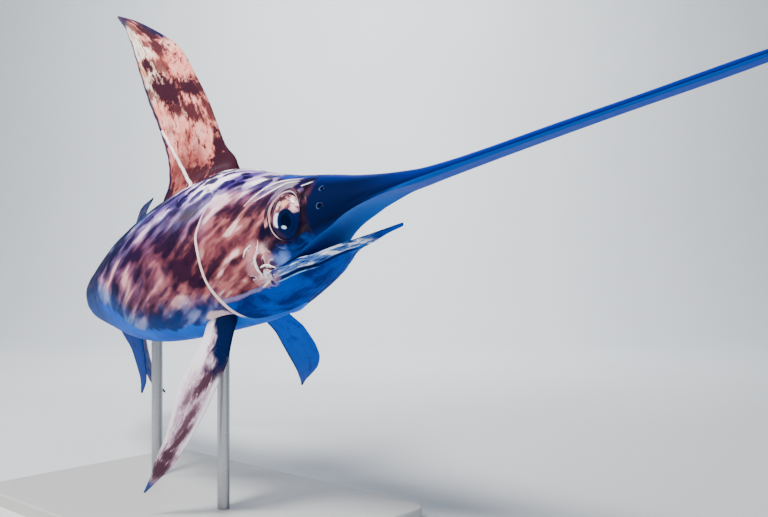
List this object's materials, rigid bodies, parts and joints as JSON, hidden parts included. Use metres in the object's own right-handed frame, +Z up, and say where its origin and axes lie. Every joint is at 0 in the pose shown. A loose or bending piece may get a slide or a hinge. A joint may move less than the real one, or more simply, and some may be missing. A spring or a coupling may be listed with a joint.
{
  "type": "swordfish",
  "caption": "Life-size swordfish, bent to its left with raised head, long flat bill and tall dorsal fin, fixed on two rods over a flat plate",
  "frame": {"origin": "centre of the underside of the stand's plate, on the floor", "axes": "+X is the way the head points, seen from above; +Y is the fish's left; +Z is up"},
  "size_m": [2.498, 0.9202, 1.1753],
  "materials": {
    "skin_back": "smooth wet-looking skin, dark bronze and violet brown",
    "bill": "satin blue black, paler below",
    "jaw": "satin pale silver grey",
    "eye": "clear gloss over dark blue",
    "fin": "satin copper brown with dark blotches",
    "stand_plate": "painted plain light grey",
    "stand_metal": "brushed"
  },
  "bodies": {
    "root": {"anal_fin_1": "fin", "anal_fin_2": "fin", "bill": "bill", "caudal_fin_lower": "fin", "caudal_fin_upper": "fin", "dorsal_fin_1": "fin", "dorsal_fin_2": "fin", "eye_left": "eye", "eye_right": "eye", "head": "skin_back", "lower_jaw": "jaw", "pectoral_fin_left": "fin", "pectoral_fin_right": "fin", "peduncle": "skin_back", "stand_base": "stand_plate", "stand_rod_front": "stand_metal", "stand_rod_rear": "stand_metal", "torso_front": "skin_back", "torso_rear": "skin_back"}
  },
  "joints": []
}
